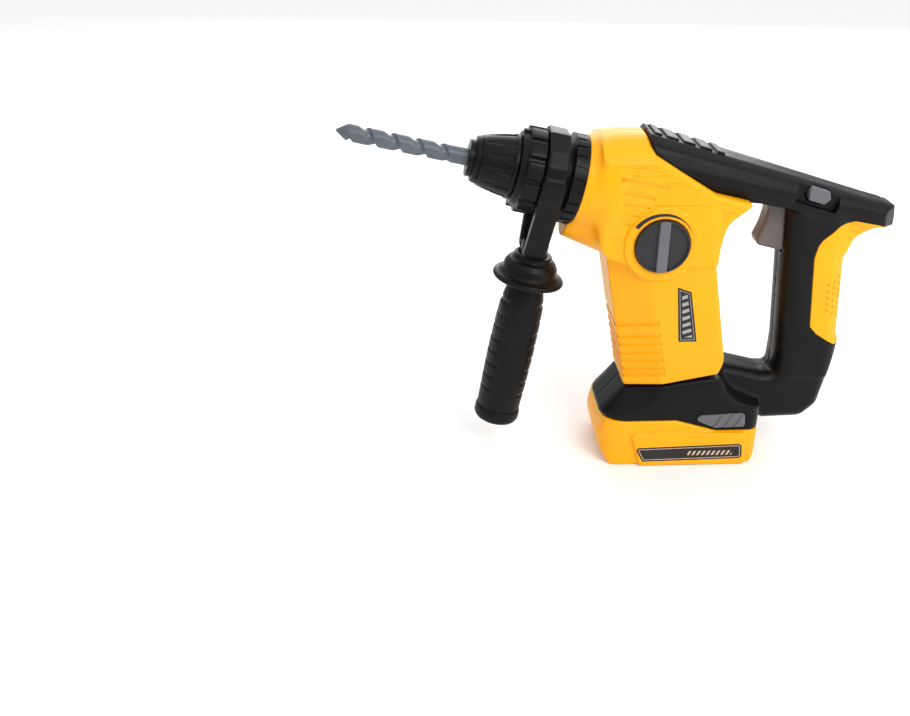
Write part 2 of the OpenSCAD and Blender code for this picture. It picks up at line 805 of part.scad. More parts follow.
module side_yoke() {
    color("#262628") from_datum() difference() {
        union() {
            on_barrel(12.3) linear_extrude(13.4) polygon(concat(
                [for (p = band_half) p],
                [for (k = [len(band_half) - 1 : -1 : 1]) [band_half[k][0], -band_half[k][1]]]));
            for (hand = [0, 1]) mirror([0, hand, 0]) on_side_handle()
                translate([-5.2, 0, 0]) rotate([90, 0, 90]) linear_extrude(14.4)
                    polygon([[24, -2], [30, -4], [29.8, 8], [16.5, 50], [14, 54], [6, 54], [6, 49], [10, 49]]);
            on_side_handle(46) cylinder(r = 9, h = 13.5);
            on_side_handle(48) translate([0, 0, 2.7]) cube([14, 16, 5.4], center = true);
        }
        on_barrel(10) cylinder(r = neck_r + fit, h = 20);
        on_side_handle(44) cylinder(r = 2.05, h = 20);
    }
}

module side_guard() {
    profile = [[2.3, 59.7], [9.1, 59.7], [9.1, 54.2], [12.6, 54.2], [13, 57.4], [15.6, 58.6],
        [17.8, 62], [18.5, 66.4], [20.5, 68.2], [23.4, 69.6], [guard_r, 71], [23.4, 72.4],
        [12, 73.4], [2.3, 73.4]];
    color("#29292b") from_datum() on_side_handle() rotate_extrude() polygon(profile);
}

module side_grip() {
    r = side_grip_r;
    color("#232325") from_datum() on_side_handle() difference() {
        rotate_extrude() polygon([[2.3, 73.5], [11.6, 73.5], [11.6, 77], [13.2, 82], [r - 1.2, 90],
            [r - 0.4, 104], [r, 126], [r - 0.3, 150], [r - 0.9, 170], [12.4, 170],
            [12.4, 84], [9, 79], [2.3, 79]]);
        for (k = [0 : 6], turn = [0, 180]) rotate([0, 0, turn]) translate([0, 0, 98 + 9.4 * k])
            rotate([0, 0, -50]) rotate_extrude(angle = 100) translate([r - 1.1, 0]) square([3, 1.8]);
    }
}

module side_grip_cap() {
    r = side_grip_r - 0.7;
    color("#1f1f21") from_datum() on_side_handle() rotate_extrude()
        polygon([[0, 165.5], [12.3, 165.5], [12.3, 170.1], [r, 170.1], [r + 0.7, 172.4],
            [r + 0.7, 177], [r - 0.6, 179.3], [r - 3, side_reach], [0, side_reach]]);
}

module side_handle_screw() {
    color("silver") from_datum() on_side_handle() {
        translate([0, 0, 48]) cylinder(r = 2, h = 31.2);
        translate([0, 0, 79.1]) cylinder(r = 4, h = 3);
    }
}

// ---- battery pack ----

module pack_solid(t) {
    intersection() {
        side(inset(pack_side, t));
        plan(inset(pack_plan, t), -1, 50);
    }
}

module pack_channel() {
    plan([[4, -10.4, 0], [120, -10.4, 0], [120, 10.4, 0], [4, 10.4, 0]], 20, 60);
    plan([[4, -14.4, 0], [120, -14.4, 0], [120, 14.4, 0], [4, 14.4, 0]], 19.2, 22.4);
}

module pack_shell() {
    color("goldenrod") from_datum() difference() {
        union() {
            difference() {
                pack_solid(0);
                difference() {
                    pack_solid(wall);
                    plan([[0, -16.6, 0], [120, -16.6, 0], [120, 16.6, 0], [0, 16.6, 0]], 17.4, 60);
                }
            }
            for (hand = [0, 1]) mirror([0, hand, 0])
                side(panel_side, -pack_half - panel_t, -pack_half + 0.5);
            intersection() {
                translate([18, 0, 2.5]) cylinder(r = 4, h = 16);
                pack_solid(1);
            }
        }
        pack_channel();
        plan([[13.7, -26.3, 3], [98.3, -26.3, 3], [98.3, 26.3, 3], [13.7, 26.3, 3]], -1, 2.4);
        translate([18, 0, 1]) cylinder(r = screw_r + fit, h = 12);
    }
}

module battery_door() {
    color("goldenrod") from_datum() difference() {
        plan([[14, -26, 3], [98, -26, 3], [98, 26, 3], [14, 26, 3]], 0.5, 2.3);
        translate([18, 0, 0]) cylinder(r = screw_r + 0.1, h = 4);
        translate([18, 0, 0]) cylinder(r = 3, h = 1.2);
        for (x = [88 : 3 : 94]) translate([x, -8, 0]) cube([1.2, 16, 1]);
    }
}

module door_screw() {
    color("silver") from_datum() {
        translate([18, 0, 0.6]) cylinder(r = 2.8, h = 0.6);
        translate([18, 0, 1.1]) cylinder(r = screw_r, h = 10);
    }
}

module cell(k) {
    color("dimgray") from_datum() translate([30, 15.2 * (k - 2), 9.9]) rotate([0, 90, 0]) {
        cylinder(r = cell_r, h = cell_len - 1);
        translate([0, 0, cell_len - 1.1]) cylinder(r = 2.7, h = 1.1);
    }
}

module cell_1() { cell(1); }
module cell_2() { cell(2); }
module cell_3() { cell(3); }

module contact_springs() {
    color("silver") from_datum() for (k = [-1 : 1]) translate([24.1, 15.2 * k, 9.9]) rotate([0, 90, 0])
        coil(3.2, 0.35, 3, 5.8, 12);
}

module contact_plates() {
    color("silver") from_datum() for (k = [-1 : 1], x = [23.4, 30 + cell_len + 0.05])
        translate([x, 15.2 * k - 5, 4.9]) cube([0.6, 10, 10]);
}

label_side = [[25.8, 3.9, 2], [95.6, 5.4, 3], [94.2, 17.4, 3], [19.6, 15.2, 2]];

module pack_label(hand) {
    mirror([0, hand > 0 ? 1 : 0, 0]) side(label_side, -pack_half - panel_t - 0.3, -pack_half - panel_t);
}

module left_pack_label() { color("#161618") from_datum() pack_label(-1); }
module right_pack_label() { color("#161618") from_datum() pack_label(1); }

decal_side = [[43, 95, 0.5], [55, 95, 0.5], [47.8, 130.5, 0.5], [38.5, 134, 0.5]];

module decal(hand) {
    mirror([0, hand > 0 ? 1 : 0, 0]) side(decal_side, -body_half - 0.25, -body_half);
}

module left_decal() { color("#1c1c1e") from_datum() decal(-1); }
module right_decal() { color("#1c1c1e") from_datum() decal(1); }

// ---- electronics ----

module circuit_board() {
    color("darkgreen") from_datum() on_column() difference() {
        translate([-12, 6, 22]) cube([30, 1.6, 36]);
        translate([-8, 5, 27]) rotate([-90, 0, 0]) cylinder(r = 1.4, h = 5);
    }
}

module speaker() {
    color("#333333") from_datum() on_column() translate([-2, -18, 30]) rotate([90, 0, 0]) {
        cylinder(r = 13.5, h = 3);
        cylinder(r = 9, h = 7);
    }
}

left_housing();
right_housing();
left_frame();
right_frame();
top_ridge_pad();
rear_grip_pad();
housing_screws();
frame_screws();
collar();
ribbed_ring();
front_bush();
rear_bush();
rear_gear_plate();
front_gear_plate();
compound_pin();
motor();
circuit_board();
speaker();
trigger_switch();
spindle();
output_gear();
chuck_sleeve();
chuck_nose();
compound_gear();
motor_pinion();
drill_bit();
mode_dial();
dial_clip();
trigger();
trigger_spring();
direction_button();
left_release_button();
right_release_button();
side_yoke();
side_guard();
side_grip();
side_grip_cap();
side_handle_screw();
pack_shell();
battery_door();
door_screw();
cell_1();
cell_2();
cell_3();
contact_springs();
contact_plates();
left_pack_label();
right_pack_label();
left_decal();
right_decal();
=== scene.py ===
"""Looks of a toy rotary hammer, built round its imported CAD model."""
import json
import math
import bpy
import numpy as np
import openvdb as vdb
from mathutils import Matrix, Vector


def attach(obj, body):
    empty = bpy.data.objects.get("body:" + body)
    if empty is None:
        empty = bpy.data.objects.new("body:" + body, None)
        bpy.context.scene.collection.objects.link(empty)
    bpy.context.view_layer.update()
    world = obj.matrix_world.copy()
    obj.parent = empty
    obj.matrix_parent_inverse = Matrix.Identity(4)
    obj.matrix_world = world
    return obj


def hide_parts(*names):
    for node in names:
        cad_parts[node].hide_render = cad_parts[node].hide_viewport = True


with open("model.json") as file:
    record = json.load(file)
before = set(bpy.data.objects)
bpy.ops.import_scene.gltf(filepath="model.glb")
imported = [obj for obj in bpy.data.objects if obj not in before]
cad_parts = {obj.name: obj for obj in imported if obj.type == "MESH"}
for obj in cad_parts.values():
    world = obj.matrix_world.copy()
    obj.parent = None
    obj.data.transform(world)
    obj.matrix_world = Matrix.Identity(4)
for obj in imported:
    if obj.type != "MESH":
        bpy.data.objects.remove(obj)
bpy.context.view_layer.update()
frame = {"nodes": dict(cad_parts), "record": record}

MM = 0.001
# ---- dimensions shared with the part's source, in millimetres ----
BARREL_TILT = math.radians(12.5)
BARREL = (-26.0, 0.0, 197.0)
NOSE_X = BARREL[0] - 155 * math.cos(BARREL_TILT) - 1.6 * math.sin(BARREL_TILT)
TAIL_X = 183.0
CENTRE_X = (NOSE_X + TAIL_X) / 2
COLUMN_LEAN = math.radians(11)
RAIL_SLOPE = math.radians(16.9)
RAIL_CORNER = (66.5, 214.8)
GRIP_LEAN = math.radians(5)
HANDLE_LEAN = math.radians(10.5)
HANDLE_TOP = (BARREL[0] - 16.1, BARREL[2] + 3.6)
BODY_HALF = 29.0
WALL = 2.2
DIAL = (25.5, 163.0)
COLUMN_FOOT = (41, 62)
GRIP_FOOT = (132, 80)
BORE_RADIUS = 22.06

HOUSING_SIDE = [(-40, 30, 0), (11.5, 56.8, 0), (35, 61.2, 0), (72.8, 68.6, 2), (77.8, 80.5, 4),
    (62.8, 153, 40), (66.5, 175, 14), (82.1, 188, 1.4), (57.5, 194.4, 8), (17.8, 219.4, 4),
    (13.8, 229.8, 2.5), (-4, 229.8, 12), (-16, 226, 0), (-40, 226, 0)]
SHOULDER_FRONT = [(-29, 140, 0), (29, 140, 0), (29, 215.5, 0.8), (23, 222.6, 12), (9, 229.8, 26),
    (-9, 229.8, 26), (-23, 222.6, 12), (-29, 215.5, 0.8)]
COLUMN_PLAN = [(-30.5, -19.5, 2.5), (-5.5, -29, 9), (38.3, -29, 4), (38.3, 29, 4), (-5.5, 29, 9),
    (-30.5, 19.5, 2.5)]
RAIL_PLAN = [(-40, -40, 0), (150, -40, 0), (172.4, -14.6, 2.5), (182.4, -5, 4), (182.4, 5, 4),
    (172.4, 14.6, 2.5), (150, 40, 0), (-40, 40, 0)]
BLOCK_SIDE = [(-14.5, 156.5, 15), (4, 150, 0), (85, 150, 0), (85, 232, 0), (-14.5, 232, 0)]
RAIL_SIDE = [(12, 205, 0), (57, 189, 0), (88, 186, 0), (168, 168.3, 0), (TAIL_X + 0.42, 165.6, 1),
    (TAIL_X - 3, 180.2, 1.5), (66.5, 214.8, 0), (16, 230.2, 0)]
FLARE_SIDE = [(135, 150, 0), (151.6, 140, 10), (157.6, 158.4, 9), (173.5, 167, 2), (172, 180, 0),
    (125, 186, 0)]
BRIDGE_SIDE = [(78, 28, 0), (109, 28, 0), (112.5, 24.6, 3), (141, 25.4, 11), (151.5, 36, 9),
    (157, 70, 0), (158.6, 86, 0), (135, 96, 0), (119.5, 80, 0), (117.4, 61, 4), (108, 61.4, 3),
    (92, 65.6, 8), (82.6, 68, 2), (70, 70.2, 0)]
STEM_SIDE = [(90, 60, 0), (152, 60, 0), (158.4, 88, 6), (170, 100, 0), (170, 178, 0), (90, 190, 0)]
SKIRT_SIDE = [(-6, 35.2, 0), (47.8, 35.2, 6), (75.5, 26.8, 6), (108, 26.8, 0), (108, 90, 0),
    (-6, 90, 0)]
FOOT_CREASE = [(-4, 37.5), (6, 39.3), (17, 43.4), (28, 47.4), (42, 51.3), (56, 53), (68, 52), (80, 49.5),
    (103, 44.2)]
FOOT_BASE = [(-4, 52.9), (41, 61.7), (74, 66.5), (82, 60), (92, 53), (103, 47),
    (110, 45)]
PAD_FACE = [(140.2, 92.2, 5), (134.8, 98, 0), (129.6, 147, 12), (131.5, 158, 12), (143.5, 169, 10),
    (152, 172.6, 4), (168.4, 169.2, 1), (173.6, 167.3, 0), (190, 160, 0), (190, 84, 0), (154, 83.6, 0)][::-1]
PAD_SEAMS = [((138.8, 168.4), (151.9, 164.9)), ((134.4, 162.8), (150.2, 159.7)),
    ((131.3, 156.7), (147.8, 153.2))]
DIRECTION_FACE = [(54.8, -6.6, 0), (57.6, -11, 0), (69, -11, 0), (71.8, -6.6, 0), (69, -2.2, 0),
    (57.6, -2.2, 0)]
PACK_SIDE = [(3, 0, 1.5), (103, 0, 3), (106.3, 6, 4), (106.3, 26.5, 1), (75.6, 26.5, 6),
    (47.7, 34.9, 6), (-2, 34.9, 2), (-7, 22, 9), (-3, 9, 8)]
PANEL_SIDE = [(24, 0.5, 1), (98.5, 0.5, 3), (95.8, 25.8, 3), (16, 26.4, 3)]
BUTTON_SIDE = [(74, 29.2, 5), (95.4, 29.8, 2.5), (94.2, 40.4, 2.5), (64, 39, 3), (59.5, 36, 2)]
TRIGGER_SIDE = [(94.6, 153.4, 2.5), (109, 149.6, 0), (118, 149.6, 0), (118, 184, 0),
    (96.2, 184, 1), (98.1, 177, 12), (96.4, 167, 20), (93, 157.4, 2)]


# ---- signed distance fields ----

def unit(v):
    return v / np.linalg.norm(v)


def rounded(points, steps=8):
    """The outline with each corner (x, z, radius) replaced by an arc."""
    out = []
    flat = [np.array(p[:2], float) for p in points]
    for k, p in enumerate(points):
        b = flat[k]
        if p[2] <= 0:
            out.append(b)
            continue
        u, w = unit(flat[k - 1] - b), unit(flat[(k + 1) % len(flat)] - b)
        half = math.acos(max(-0.9999, min(0.9999, float(u @ w)))) / 2
        mid = b + unit(u + w) * p[2] / math.sin(half)
        start = b + u * p[2] / math.tan(half) - mid
        end = b + w * p[2] / math.tan(half) - mid
        a0 = math.atan2(start[1], start[0])
        sweep = (math.atan2(end[1], end[0]) - a0 + 3 * math.pi) % (2 * math.pi) - math.pi
        for j in range(steps + 1):
            a = a0 + sweep * j / steps
            out.append(mid + p[2] * np.array([math.cos(a), math.sin(a)]))
    return np.array(out)


def outline(points, u, v):
    """Signed distance of the points (u, v) to a closed outline, negative inside."""
    p = rounded(points)
    q = np.roll(p, -1, axis=0)
    shape = np.broadcast(u, v).shape
    best = np.full(shape, 1e9, np.float32)
    inside = np.zeros(shape, bool)
    for (x0, y0), (x1, y1) in zip(p, q):
        dx, dy = x1 - x0, y1 - y0
        length = dx * dx + dy * dy
        if length < 1e-12:
            continue
        t = np.clip(((u - x0) * dx + (v - y0) * dy) / length, 0, 1)
        best = np.minimum(best, (u - x0 - t * dx) ** 2 + (v - y0 - t * dy) ** 2)
        if y0 != y1:
            crosses = (v < y0) != (v < y1)
            inside ^= crosses & (u < x0 + (v - y0) * dx / dy)
    return np.where(inside, -1, 1) * np.sqrt(best)


def sect(a, b, r=0.0):
    """Intersection with an edge rounded to radius r."""
    if r <= 0:
        return np.maximum(a, b)
    return np.minimum(-r, np.maximum(a, b)) + np.hypot(np.maximum(r + a, 0), np.maximum(r + b, 0))


def join(a, b, r=0.0):
    """Union with a fillet of radius r."""
    return -sect(-a, -b, r)


def cut(a, b, r=0.0):
    return sect(a, -b, r)


def slab(v, low, high):
    return np.maximum(low - v, v - high)


def round_rect(x, y, x0, x1, half, front_r, rear_r):
    """Rectangle x0..x1 by +-half whose front and rear corners have their own radii."""
    r = np.where(x < (x0 + x1) / 2, front_r, rear_r)
    px = np.abs(x - (x0 + x1) / 2) - (x1 - x0) / 2 + r
    py = np.abs(y) - half + r
    return np.minimum(np.maximum(px, py), 0) + np.hypot(np.maximum(px, 0), np.maximum(py, 0)) - r


class Grid:
    """A block of sample points in a local frame; place takes it to the datum frame."""

    def __init__(self, low, high, step, place=None):
        self.low, self.step = low, step
        self.place = place or Matrix.Identity(4)
        axes = [np.arange(a, b + step, step, dtype=np.float32) for a, b in zip(low, high)]
        self.x = axes[0][:, None, None]
        self.y = axes[1][None, :, None]
        self.z = axes[2][None, None, :]
        self.shape = tuple(len(a) for a in axes)

    def mesh(self, name, field, adaptivity=0.02, mirrored=False):
        values = np.ascontiguousarray(np.broadcast_to(field, self.shape), dtype=np.float32) / self.step
        values = np.clip(values, -3, 3)
        grid = vdb.FloatGrid(3.0)
        grid.copyFromArray(values)
        points, triangles, quads = grid.convertToPolygons(isovalue=0.0, adaptivity=adaptivity)
        spot = np.array(points, float) * self.step + np.array(self.low, float)
        turn = np.array(self.place.to_3x3())
        spot = spot @ turn.T + np.array(self.place.translation)
        if mirrored:
            spot[:, 1] *= -1
        spot[:, 0] -= CENTRE_X
        faces = [tuple(f) for f in triangles] + [tuple(f) for f in quads]
        if not mirrored:
            faces = [f[::-1] for f in faces]
        data = bpy.data.meshes.new(name)
        data.from_pydata((spot * MM).tolist(), [], faces)
        data.validate()
        data.polygons.foreach_set("use_smooth", [True] * len(data.polygons))
        piece = bpy.data.objects.new(name, data)
        bpy.context.scene.collection.objects.link(piece)
        return piece


# ---- frames of the tool ----

def place(x, z, turn):
    return Matrix.Translation((x, 0, z)) @ Matrix.Rotation(turn, 4, "Y")


BARREL_PLACE = place(BARREL[0], BARREL[2], BARREL_TILT - math.pi / 2)
HANDLE_PLACE = place(*HANDLE_TOP, math.pi + HANDLE_LEAN)


def leaning(g, x, z, lean):
    """Local (along, up) of a frame at (x, z) that leans back by lean."""
    c, s = math.cos(lean), math.sin(lean)
    return (g.x - x) * c + (g.z - z) * s, -(g.x - x) * s + (g.z - z) * c


def barrel_coordinates(g):
    c, s = math.cos(BARREL_TILT), math.sin(BARREL_TILT)
    dx, dz = g.x - BARREL[0], g.z - BARREL[2]
    return dx * s + dz * c, -dx * c + dz * s


def rail_coordinates(g):
    """Local (tailward, up) of the rail, from its corner on the housing."""
    c, s = math.cos(RAIL_SLOPE), math.sin(RAIL_SLOPE)
    dx, dz = g.x - RAIL_CORNER[0], g.z - RAIL_CORNER[1]
    return dx * c - dz * s, dx * s + dz * c


# ---- yellow housing ----

def cone(radial, s, r0, s0, r1, s1):
    """A frustum whose radius is r0 at s0 and r1 at s1, between those stations."""
    slope = (r1 - r0) / (s1 - s0)
    return sect((radial - r0 - slope * (s - s0)) / math.hypot(1, slope), slab(s, s0, s1), 0.8)


def housing_outer(g):
    xl, zl = leaning(g, *COLUMN_FOOT, COLUMN_LEAN)
    side = outline(HOUSING_SIDE, g.x, g.z)
    column = sect(outline(COLUMN_PLAN, xl, g.y), slab(zl, 0.4, 118), 0.6)
    top = outline(SHOULDER_FRONT, g.y, g.z)
    block = sect(sect(outline(BLOCK_SIDE, g.x, g.z), top, 0),
                 round_rect(g.x, g.y, -15.1, 90, BODY_HALF + 0.3, 5, 0.1))
    body = sect(join(column, block, 5), side, 3.2)
    h, s = barrel_coordinates(g)
    neck = cone(np.hypot(h, g.y), s, 31.9, -20, 29.2, 0)
    chin = cone(np.hypot(h + 21, g.y), s, 22, -26, 16.2, 2)
    chin = cut(chin, sect(np.hypot(h, g.y) - 29.2, -s), 0.5)
    return join(join(body, neck, 6), chin, 3)


def dial_distance(g):
    return np.hypot(g.x - DIAL[0], g.z - DIAL[1])


UPPER_SLOTS = [(205, -3.8, 27), (196, -1.2, 19), (189.3, -0.7, 16), (182.8, -0.2, 9), (176.4, 0.8, 4.5)]
LOWER_SLOTS = [46.5, 37.5, 31.5, 25, 19, 13, 8]


def housing(g, left):
    outer = housing_outer(g)
    ledged = ((g.x < 36) & (g.z > 168)) | ((g.x < 40) & (g.z < 118))
    d = cut(outer, outer + np.where(ledged, 2 * WALL, WALL))
    if left:
        r = dial_distance(g)
        boss = sect(r - 24, slab(g.y, -30.6, -27), 0.6)
        seat = sect(r - 19.7, slab(g.y, -29, -25))
        d = join(join(d, boss, 0.8), seat)
        d = cut(d, sect(r - 17.7, g.y + 28.6), 0.4)
        d = cut(d, sect(r - 4.05, slab(g.y, -32, -20)))
    c, s = math.cos(math.radians(11)), math.sin(math.radians(11))
    for z0, x0, x1 in UPPER_SLOTS:
        u, v = (g.x - x0) * c - (g.z - z0) * s, (g.x - x0) * s + (g.z - z0) * c
        wedge = g.y + BODY_HALF - 1.1 + np.clip(v, 0, 2.6) * 0.42
        d = cut(d, np.maximum(np.maximum(slab(u, 0, x1 - x0), slab(v, 0, 2.6)), wedge), 0.12)
    xl, zl = leaning(g, *COLUMN_FOOT, COLUMN_LEAN)
    skin = outline(COLUMN_PLAN, xl, g.y)
    for z0 in LOWER_SLOTS:
        wedge = -(skin + 1.4 - np.clip(zl - z0, 0, 4.4) * 0.32)
        d = cut(d, np.maximum(np.maximum(slab(zl, z0, z0 + 4.4), xl + 3), wedge), 0.15)
    h, s = barrel_coordinates(g)
    d = cut(d, sect(np.hypot(h, g.y) - BORE_RADIUS, -(s + 8)))
    return np.maximum(d, g.y - 0.2)


# ---- black frame ----

RAIL_FRONT = [(13, 0), (22, -5), (26.3, -16), (22, -36)]
RAIL_REAR = [(7, 0), (12.5, -2.2), (15.5, -6), (12, -20)]


def rail_outer(g):
    u, v = rail_coordinates(g)
    t = np.clip((u + 54) / 178, 0, 1)
    d = v
    y = np.abs(g.y)
    for k in range(3):
        (fa, fb), (ra, rb) = (RAIL_FRONT[k], RAIL_FRONT[k + 1]), (RAIL_REAR[k], RAIL_REAR[k + 1])
        ay, av = fa[0] + (ra[0] - fa[0]) * t, fa[1] + (ra[1] - fa[1]) * t
        by, bv = fb[0] + (rb[0] - fb[0]) * t, fb[1] + (rb[1] - fb[1]) * t
        ny, nv = -(bv - av), (by - ay)
        size = np.sqrt(ny * ny + nv * nv)
        d = sect(d, ((y - ay) * ny + (v - av) * nv) / size, (0.8, 1.6, 1.2)[k])
    d = sect(d, outline(RAIL_SIDE, g.x, g.z), 0.8)
    return sect(d, outline(RAIL_PLAN, g.x, g.y), 0.8)


def grip_outer(g):
    xl, zl = leaning(g, *GRIP_FOOT, GRIP_LEAN)
    stem = sect(round_rect(xl, g.y, -15.4, 26.4, 16.5, 12, 13), outline(STEM_SIDE, g.x, g.z), 1)
    flare = sect(outline(FLARE_SIDE, g.x, g.z), np.abs(g.y) - 13, 8)
    return join(stem, flare, 4)


def bridge_outer(g):
    d = sect(outline(BRIDGE_SIDE, g.x, g.z), np.abs(g.y) - 16.5, 9)
    return sect(d, round_rect(g.x, g.y, 40, 158.6, 16.5, 1, 12), 1)


def foot_outer(g):
    """A skirt whose roof rises from its crease to the foot of the column and the bridge."""
    plan = round_rect(g.x, g.y, -3.9, 106, 31, 18, 8)
    skirt = sect(outline(SKIRT_SIDE, g.x, g.z), plan, 0.6)
    strip = np.maximum(np.abs(g.y) - 10, 62 - g.x)
    column = outline(COLUMN_PLAN, (g.x - COLUMN_FOOT[0]) / math.cos(COLUMN_LEAN), g.y)
    away = np.maximum(np.minimum(column, strip), 0)
    inward = np.maximum(-plan, 0)
    crease = np.interp(g.x, *zip(*FOOT_CREASE))
    base = np.interp(g.x, *zip(*FOOT_BASE))
    run = inward + away
    roof = crease + (base - crease) * inward / np.maximum(run, 0.5)
    slope = (base - crease) / np.maximum(run, 2)
    return sect(skirt, (g.z - roof) / np.sqrt(1 + slope * slope), 0.7)


def frame_outer(g):
    d = join(rail_outer(g), grip_outer(g), 5)
    d = join(d, bridge_outer(g), 4)
    return join(d, foot_outer(g), 5)


def frame_half(g):
    outer = frame_outer(g)
    d = cut(outer, outer + WALL + 0.3)
    u, v = rail_coordinates(g)
    floor = np.maximum(np.maximum(slab(u, 47.3, 79.3), slab(v, -15.6, 2.4)), slab(g.y, -14.6, -12.4))
    d = join(d, np.maximum(floor, outer + 0.6))
    d = cut(d, outline(HOUSING_SIDE, g.x, g.z) - 0.12, 0.3)
    d = cut(d, np.maximum(outline(PAD_FACE, g.x, g.z), -(outer + WALL)) - 0.12, 0.25)
    d = cut(d, np.maximum(np.maximum(slab(g.x, 88, 124), np.abs(g.y) - 7.4), slab(g.z, 148.9, 187)), 0.3)
    d = cut(d, np.maximum(np.maximum(slab(u, -49.8, -2.4), np.abs(g.y) - 11.3), -3.2 - v), 0.3)
    recess = np.maximum(np.maximum(slab(u, 48.8, 77.8), slab(v, -14.1, 0.9)), g.y + 14.6)
    d = cut(d, recess, 0.5)
    d = cut(d, outline(DIRECTION_FACE, u, v) - 0.3)
    window = np.maximum(outline(BUTTON_SIDE, g.x, g.z) - 0.3, g.y + 24)
    d = cut(d, window, 0.3)
    return np.maximum(d, g.y - 0.2)


# ---- other moulded pieces ----

def handle_coordinates(g):
    """Local (noseward, down) of the side handle."""
    c, s = math.cos(HANDLE_LEAN), math.sin(HANDLE_LEAN)
    dx, dz = g.x - HANDLE_TOP[0], g.z - HANDLE_TOP[1]
    return -dx * c + dz * s, -dx * s - dz * c


def revolve(points, radial, along):
    """Distance to a solid of revolution; along is the grid's own axis array."""
    reach = float(radial.max()) + 0.2
    r = np.arange(0, reach, 0.1, dtype=np.float32)
    table = outline(points, r[:, None], along.ravel()[None, :])
    t = radial / 0.1
    k = np.minimum(t.astype(int), len(r) - 2)
    f = t - k
    rows = np.arange(along.size)[None, None, :]
    return table[k, rows] * (1 - f) + table[k + 1, rows] * f


def spokes(x, y, count, phase=0.0):
    """Coordinates along and across the nearest of count spokes."""
    a = np.arctan2(y, x)
    pitch = 2 * math.pi / count
    near = a - np.round((a - phase) / pitch) * pitch - phase
    r = np.hypot(x, y)
    return r * np.cos(near), r * np.sin(near)


def grip_pad(g):
    outer = frame_outer(g)
    d = np.maximum(sect(outline(PAD_FACE, g.x, g.z), outer, 0.3), -(outer + WALL))
    for (x0, z0), (x1, z1) in PAD_SEAMS:
        across = ((g.x - x0) * (z1 - z0) - (g.z - z0) * (x1 - x0)) / math.hypot(x1 - x0, z1 - z0)
        d = cut(d, np.maximum(np.abs(across) - 0.35, -(outer + 0.6)), 0.2)
    for column, count in enumerate((5, 6, 7)):
        for k in range(count):
            z = 119 + (k - (count - 1) / 2) * 4.6
            x = 142.8 + 4.2 * column - (z - 119) * 0.0875
            pit = np.maximum(np.hypot(g.x - x, g.z - z) - 0.95, -(outer + 0.9))
            d = cut(d, pit, 0.15)
    return d


def pack_shell(g):
    side, plan = outline(PACK_SIDE, g.x, g.z), round_rect(g.x, g.y, -7, 106.5, 32, 17, 8)
    outer = sect(side, plan, 2.2)
    roof = np.maximum(np.abs(g.y) - 16.6, 17.4 - g.z)
    d = cut(outer, cut(outer + WALL, roof))
    panel = sect(outline(PANEL_SIDE, g.x, g.z), slab(np.abs(g.y), 31.5, 34), 0.9)
    d = join(d, panel, 0.6)
    boss = sect(np.hypot(g.x - 18, g.y) - 4, slab(g.z, 2.5, 18.5))
    d = join(d, boss)
    d = cut(d, np.maximum(np.maximum(4 - g.x, np.abs(g.y) - 10.4), 20 - g.z), 0.3)
    d = cut(d, np.maximum(np.maximum(4 - g.x, np.abs(g.y) - 14.4), slab(g.z, 19.2, 22.4)))
    d = cut(d, np.maximum(round_rect(g.x, g.y, 13.7, 98.3, 26.3, 3, 3), g.z - 2.4), 0.2)
    return cut(d, sect(np.hypot(g.x - 18, g.y) - 1.45, g.z - 13))


BAND = [(28.6, 0, 0), (28.6, 8.6, 2.5), (21, 20.8, 3), (12, 27.8, 5), (0, 29.9, 6), (-10, 29.4, 0),
    (-10, -29.4, 0), (0, -29.9, 6), (12, -27.8, 5), (21, -20.8, 3), (28.6, -8.6, 2.5)]
LEG = [(24, -2, 0), (10, 49, 2), (6, 49, 0), (6, 54, 0), (14, 54, 1.5), (16.5, 50, 1.5),
    (29.8, 8, 6), (30, -4, 0)]


def side_yoke(g):
    h, s = barrel_coordinates(g)
    lx, down = handle_coordinates(g)
    band = sect(outline(BAND, h, g.y), slab(s, 12.3, 25.7), 1.6)
    legs = sect(outline(LEG, np.abs(g.y), down), slab(lx, -5.2, 9.2), 1.8)
    d = join(band, legs, 2)
    rod = np.hypot(lx, g.y)
    d = join(d, sect(rod - 9, slab(down, 46, 59.5), 0.8), 1.2)
    d = join(d, sect(round_rect(lx, g.y, -7, 7, 8, 2, 2), slab(down, 48, 53.4), 0.8))
    d = cut(d, sect(np.hypot(h, g.y) - BORE_RADIUS, slab(s, 10, 30)), 0.4)
    return cut(d, sect(rod - 2.05, 44 - down))


GUARD = [(2.3, 59.7, 0), (9.1, 59.7, 0), (9.1, 54.2, 0.4), (12.6, 54.2, 1), (13, 57.4, 1.5),
    (15.6, 58.6, 1.5), (17.8, 62, 3), (18.5, 66.4, 1.5), (20.5, 68.2, 1.5), (23.2, 69.4, 1),
    (24, 71, 0.8), (23.2, 72.5, 0.6), (12, 73.4, 0.5), (2.3, 73.4, 0)][::-1]
GRIP = [(2.3, 73.5, 0), (11.6, 73.5, 0.4), (11.5, 77, 3), (13.2, 82, 6), (14.7, 90, 12), (15.4, 104, 30),
    (15.8, 126, 40), (15.5, 150, 40), (14.9, 170, 0.4), (12.4, 170, 0), (12.4, 84, 1),
    (9, 79, 1), (2.3, 79, 0)]
GRIP_CAP = [(0, 165.5, 0), (12.3, 165.5, 0), (12.3, 170.1, 0), (15.1, 170.1, 0.3), (15.8, 172.4, 0.8),
    (15.8, 177, 1), (14.5, 179.3, 1), (12.1, 180.5, 1), (0, 180.5, 0)]


